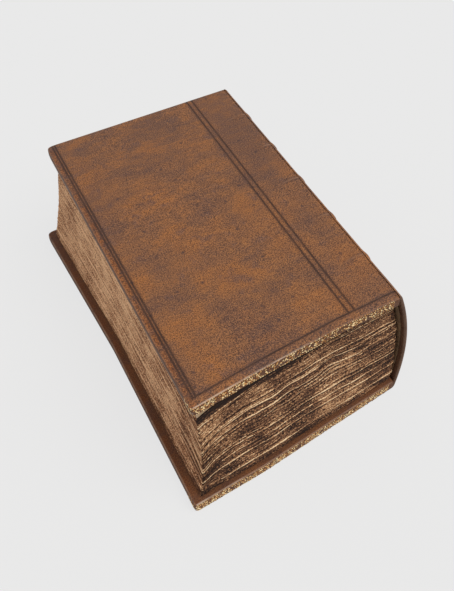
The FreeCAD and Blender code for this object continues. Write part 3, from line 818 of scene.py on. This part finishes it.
# Streaks follow the leaves: 9 mm long and 0.35 mm thick, with short specks of dust 0.75 by 0.33 mm.
long_way = add(tree, "Mapping", Vector=flat, Scale=(1 / 9, 1 / 0.35, 1))
short_way = add(tree, "Mapping", Vector=flat, Scale=(1 / 0.75, 1 / 0.33, 1))
value = parts[2]
for at, scale, detail, amount in ((long_way.outputs["Vector"], 1.0, 3.0, 0.55),
                                  (short_way.outputs["Vector"], 1.0, 2.0, 1.8),
                                  (point, 1 / 13, 3.0, 0.75)):
    noise = add(tree, "TexNoise", Vector=at, Scale=scale, Detail=detail).outputs["Fac"]
    value = add(tree, "Math", {"operation": "MULTIPLY_ADD"},
                i0=noise, i1=amount, i2=value).outputs[0]
value = add(tree, "Math", {"operation": "SUBTRACT"}, i0=value, i1=1.46).outputs[0]
dark = add(tree, "ValToRGB", Fac=value, stops=[
    (0.20, "#291a13"), (0.38, "#62412d"), (0.55, "#986c4b"), (0.76, "#d2a578"), (0.98, "#f3d5ab")])
light = add(tree, "ValToRGB", Fac=value, stops=[
    (0.22, "#50301f"), (0.40, "#8d5d3e"), (0.55, "#ba845d"), (0.78, "#e8bb90")])
colour = add(tree, "Mix", {"data_type": "RGBA"}, i0=at_tail,
             i6=light.outputs["Color"], i7=dark.outputs["Color"]).outputs[2]
edges = add(tree, "Bump", Strength=0.6, Distance=0.0002, Height=value)
wire(tree, shader, Base_Color=colour, Roughness=0.85, Specular_IOR_Level=0.25,
     Normal=edges.outputs["Normal"])
block.data.materials.append(rag)

# %% [markdown]
# ## Endpapers, boards, cords and lining
#
# These come straight from the frame and get finishes of their own. They show when a cover is opened, or
# as thin lines at the tail. The top free leaf is new, because it droops at the corner as the leaves
# under it do.

# %% Paper, pasteboard and hemp materials
def plain_finish(name, codes, size, fibre, rough):
    """Matte fibrous material: a ramp of colours over noise size mm wide, with bumps fibre mm wide."""
    material, tree, shader = finish(name)
    point = add(tree, "TexCoord").outputs["Object"]
    broad = add(tree, "TexNoise", Vector=point, Scale=1000 / size, Detail=5.0, Roughness=0.6)
    fine = add(tree, "TexNoise", Vector=point, Scale=1000 / fibre, Detail=3.0)
    ramp = add(tree, "ValToRGB", stops=codes, Fac=broad.outputs["Fac"])
    mixed = add(tree, "Mix", {"data_type": "RGBA", "blend_type": "MULTIPLY"}, i0=0.25,
                i6=ramp.outputs["Color"], i7=fine.outputs["Color"])
    bump = add(tree, "Bump", Strength=0.4, Distance=0.0001, Height=fine.outputs["Fac"])
    wire(tree, shader, Base_Color=mixed.outputs[2], Roughness=rough, Specular_IOR_Level=0.25,
         Normal=bump.outputs["Normal"])
    return material


laid_paper = plain_finish("aged_laid_paper", [(0.3, "#9a795a"), (0.5, "#bb9c7a"), (0.75, "#d2b999")],
                          30, 0.8, 0.85)
lining_paper = plain_finish("spine_lining_paper", [(0.3, "#5a4430"), (0.7, "#97795a")], 6, 0.6, 0.85)
pasteboard = plain_finish("old_pasteboard", [(0.3, "#5f4a33"), (0.7, "#7d6648")], 5, 0.7, 0.9)
hemp = plain_finish("hemp_cord", [(0.3, "#6c573a"), (0.7, "#9b8259")], 2, 0.4, 0.9)
BY_WORD = {"pastedown": laid_paper, "free_leaf": laid_paper, "lining": lining_paper,
           "board": pasteboard, "cord": hemp}
for name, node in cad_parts.items():
    for word, material in BY_WORD.items():
        if word in name:
            node.data.materials.clear()
            node.data.materials.append(material)
print("plain finishes for nodes named after", ", ".join(BY_WORD))

# %% Top free leaf
SHEET, SET_BACK = 0.2, 0.5
border = np.concatenate([plan[-1] - outward[-1] * SET_BACK,
                         np.full((plan.shape[1], 1), BLOCK_HIGH)], axis=-1)
middle = border.mean(axis=0)
shares = np.concatenate([np.linspace(0.05, 0.97, 16), [1.0]])
sheet_low = middle + (border - middle) * shares[:, None, None]
sheet_low[..., 2] = BLOCK_HIGH + 0.02 - droop(sheet_low[..., 0], sheet_low[..., 1])
sheet_high = sheet_low[::-1].copy()
sheet_high[..., 2] += SHEET
top_leaf = skin("front_free_endpaper", np.concatenate([sheet_low, sheet_high]))
top_leaf.data.materials.append(laid_paper)
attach(top_leaf, "book_block")
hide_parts("front_free_leaf")

# %% [markdown]
# ## The gold roll
#
# A binder's roll is an engraved brass wheel. Run warm over gold leaf along the edge of a board, it
# leaves one small pattern again and again; here the old gold is broken and rubbed. Drawing it in the
# leather's material would smear at this size, so each print is a small raised leaf or bead, laid on the
# edge by how far along it lies: leaves in pairs that make chevrons, beads between them, and short bars
# above and below. Some prints are lost, and each is turned and sized a little differently.

# %% Gold prints along the tail edges
PITCH = 2.6
ROLL_WIDER = 1.22
PRINT_LARGER = (1.12, 1.30)
LOST_BELOW = -0.62
RING = 6


def edge_line(corners):
    """The cover's tail edge as points in order, from eight points round the fore corner to the joint,
    and how far along it each one lies in mm."""
    round_corner = 8
    path = np.roll(round_trip(corners), round_corner, axis=0)[:sum(PER_SIDE[:3]) + round_corner]
    run = np.concatenate([[0], np.cumsum(np.linalg.norm(np.diff(path, axis=0), axis=1))])
    return path, run


def gold_roll(name, corners, mid_height, seed):
    """All prints of one roll. A print is an ellipse of six points with a raised middle, at (along, up)
    on the edge, which stands out by 0.10 cos(up * 90 deg / 2.3 mm) mm. It is lost where a cloud plus
    its own luck falls too low."""
    path, run = edge_line(corners)
    chance = np.random.default_rng(seed)
    units = int((run[-1] - 1.5) / PITCH)
    # centre along, centre up, length, width and turn in degrees of each print in one unit of the roll
    prints = np.array([(0.50, 0.58, 1.60, 0.66, 52), (0.50, -0.58, 1.60, 0.66, -52),
                       (1.45, 0.58, 1.50, 0.62, 52), (1.45, -0.58, 1.50, 0.62, -52),
                       (2.15, 0.0, 0.85, 0.8, 0), (0.95, 0.0, 0.65, 0.6, 0),
                       (0.25, 1.50, 0.80, 0.5, 0), (1.15, 1.50, 0.80, 0.5, 0),
                       (2.0, 1.50, 0.80, 0.5, 0), (0.25, -1.50, 0.80, 0.5, 0),
                       (1.15, -1.50, 0.80, 0.5, 0), (2.0, -1.50, 0.80, 0.5, 0),
                       (2.15, 0.95, 0.6, 0.5, 30), (2.15, -0.95, 0.6, 0.5, -30)])
    prints[:, 1] *= ROLL_WIDER
    prints[:, 2:4] *= PRINT_LARGER
    every = np.tile(prints, (units, 1))
    every[:, 0] += np.repeat(np.arange(units) * PITCH + 1.0, len(prints))
    every[:, :2] += chance.normal(0, 0.05, (len(every), 2))
    every[:, 2:4] *= chance.uniform(0.6, 1.15, (len(every), 1))
    every[:, 4] += chance.normal(0, 12, len(every))
    worn = cloud(every[:, 0] / 5, every[:, 1] / 2 + 9, seed) + chance.uniform(-0.6, 0.6, len(every))
    every = every[worn > LOST_BELOW]
    around = np.radians(np.arange(RING) * 360 / RING)
    turn = np.radians(every[:, 4])[:, None]
    px = np.cos(around) * every[:, 2:3] / 2
    py = np.sin(around) * every[:, 3:4] / 2
    along = every[:, 0:1] + px * np.cos(turn) - py * np.sin(turn)
    up = every[:, 1:2] + px * np.sin(turn) + py * np.cos(turn)
    # The two last points of a print are its middle, once raised and once sunk behind the leather.
    along = np.concatenate([along, every[:, 0:1], every[:, 0:1]], axis=1)
    up = np.concatenate([up, every[:, 1:2], every[:, 1:2]], axis=1)
    lift = np.tile(np.array([0.0] * RING + [0.09, -0.12]), (len(every), 1))
    x = np.interp(along, run, path[:, 0])
    y = np.interp(along, run, path[:, 1])
    ahead = along + 0.4
    dx, dy = np.interp(ahead, run, path[:, 0]) - x, np.interp(ahead, run, path[:, 1]) - y
    length = np.maximum(np.hypot(dx, dy), 1e-6)
    out = 0.10 * np.cos(np.clip(up / 2.3, -1, 1) * np.pi / 2) + 0.01 + lift
    points = np.stack([x + dy / length * out, y - dx / length * out, mid_height + up], axis=-1)
    base = np.arange(len(every))[:, None] * (RING + 2)
    k = np.arange(RING)
    face = np.stack([k, (k + 1) % RING, np.full(RING, RING)], axis=1)
    back = np.stack([(k + 1) % RING, k, np.full(RING, RING + 1)], axis=1)
    tris = (np.concatenate([face, back]).reshape(1, -1) + base).reshape(-1, 3)
    return faces(name, points.reshape(-1, 3), np.zeros((0, 4), int), tris, {})


# The pale glints in the gold's colour are painted highlights; the brown between them is rubbed gold.
gold, tree, shader = finish("rubbed_gold_leaf_with_painted_glints")
point = add(tree, "TexCoord").outputs["Object"]
rubbing_and_glints = add(tree, "TexNoise", Vector=point, Scale=1000 / 1.1, Detail=2.0)
ramp = add(tree, "ValToRGB", Fac=rubbing_and_glints.outputs["Fac"],
           stops=[(0.37, "#8a5429"), (0.48, "#dc9f55"), (0.57, "#ffe4ae")])
wire(tree, shader, Base_Color=ramp.outputs["Color"], Metallic=0.2, Roughness=0.35)
for side, corners, height, seed in (("front", FRONT, TOP - COVER / 2, 41),
                                    ("back", BACK, COVER / 2, 42)):
    roll = gold_roll(side + "_gold_prints", corners, height, seed)
    roll.data.materials.append(gold)
    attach(roll, side + "_cover")
    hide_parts(side + "_gilt_roll")
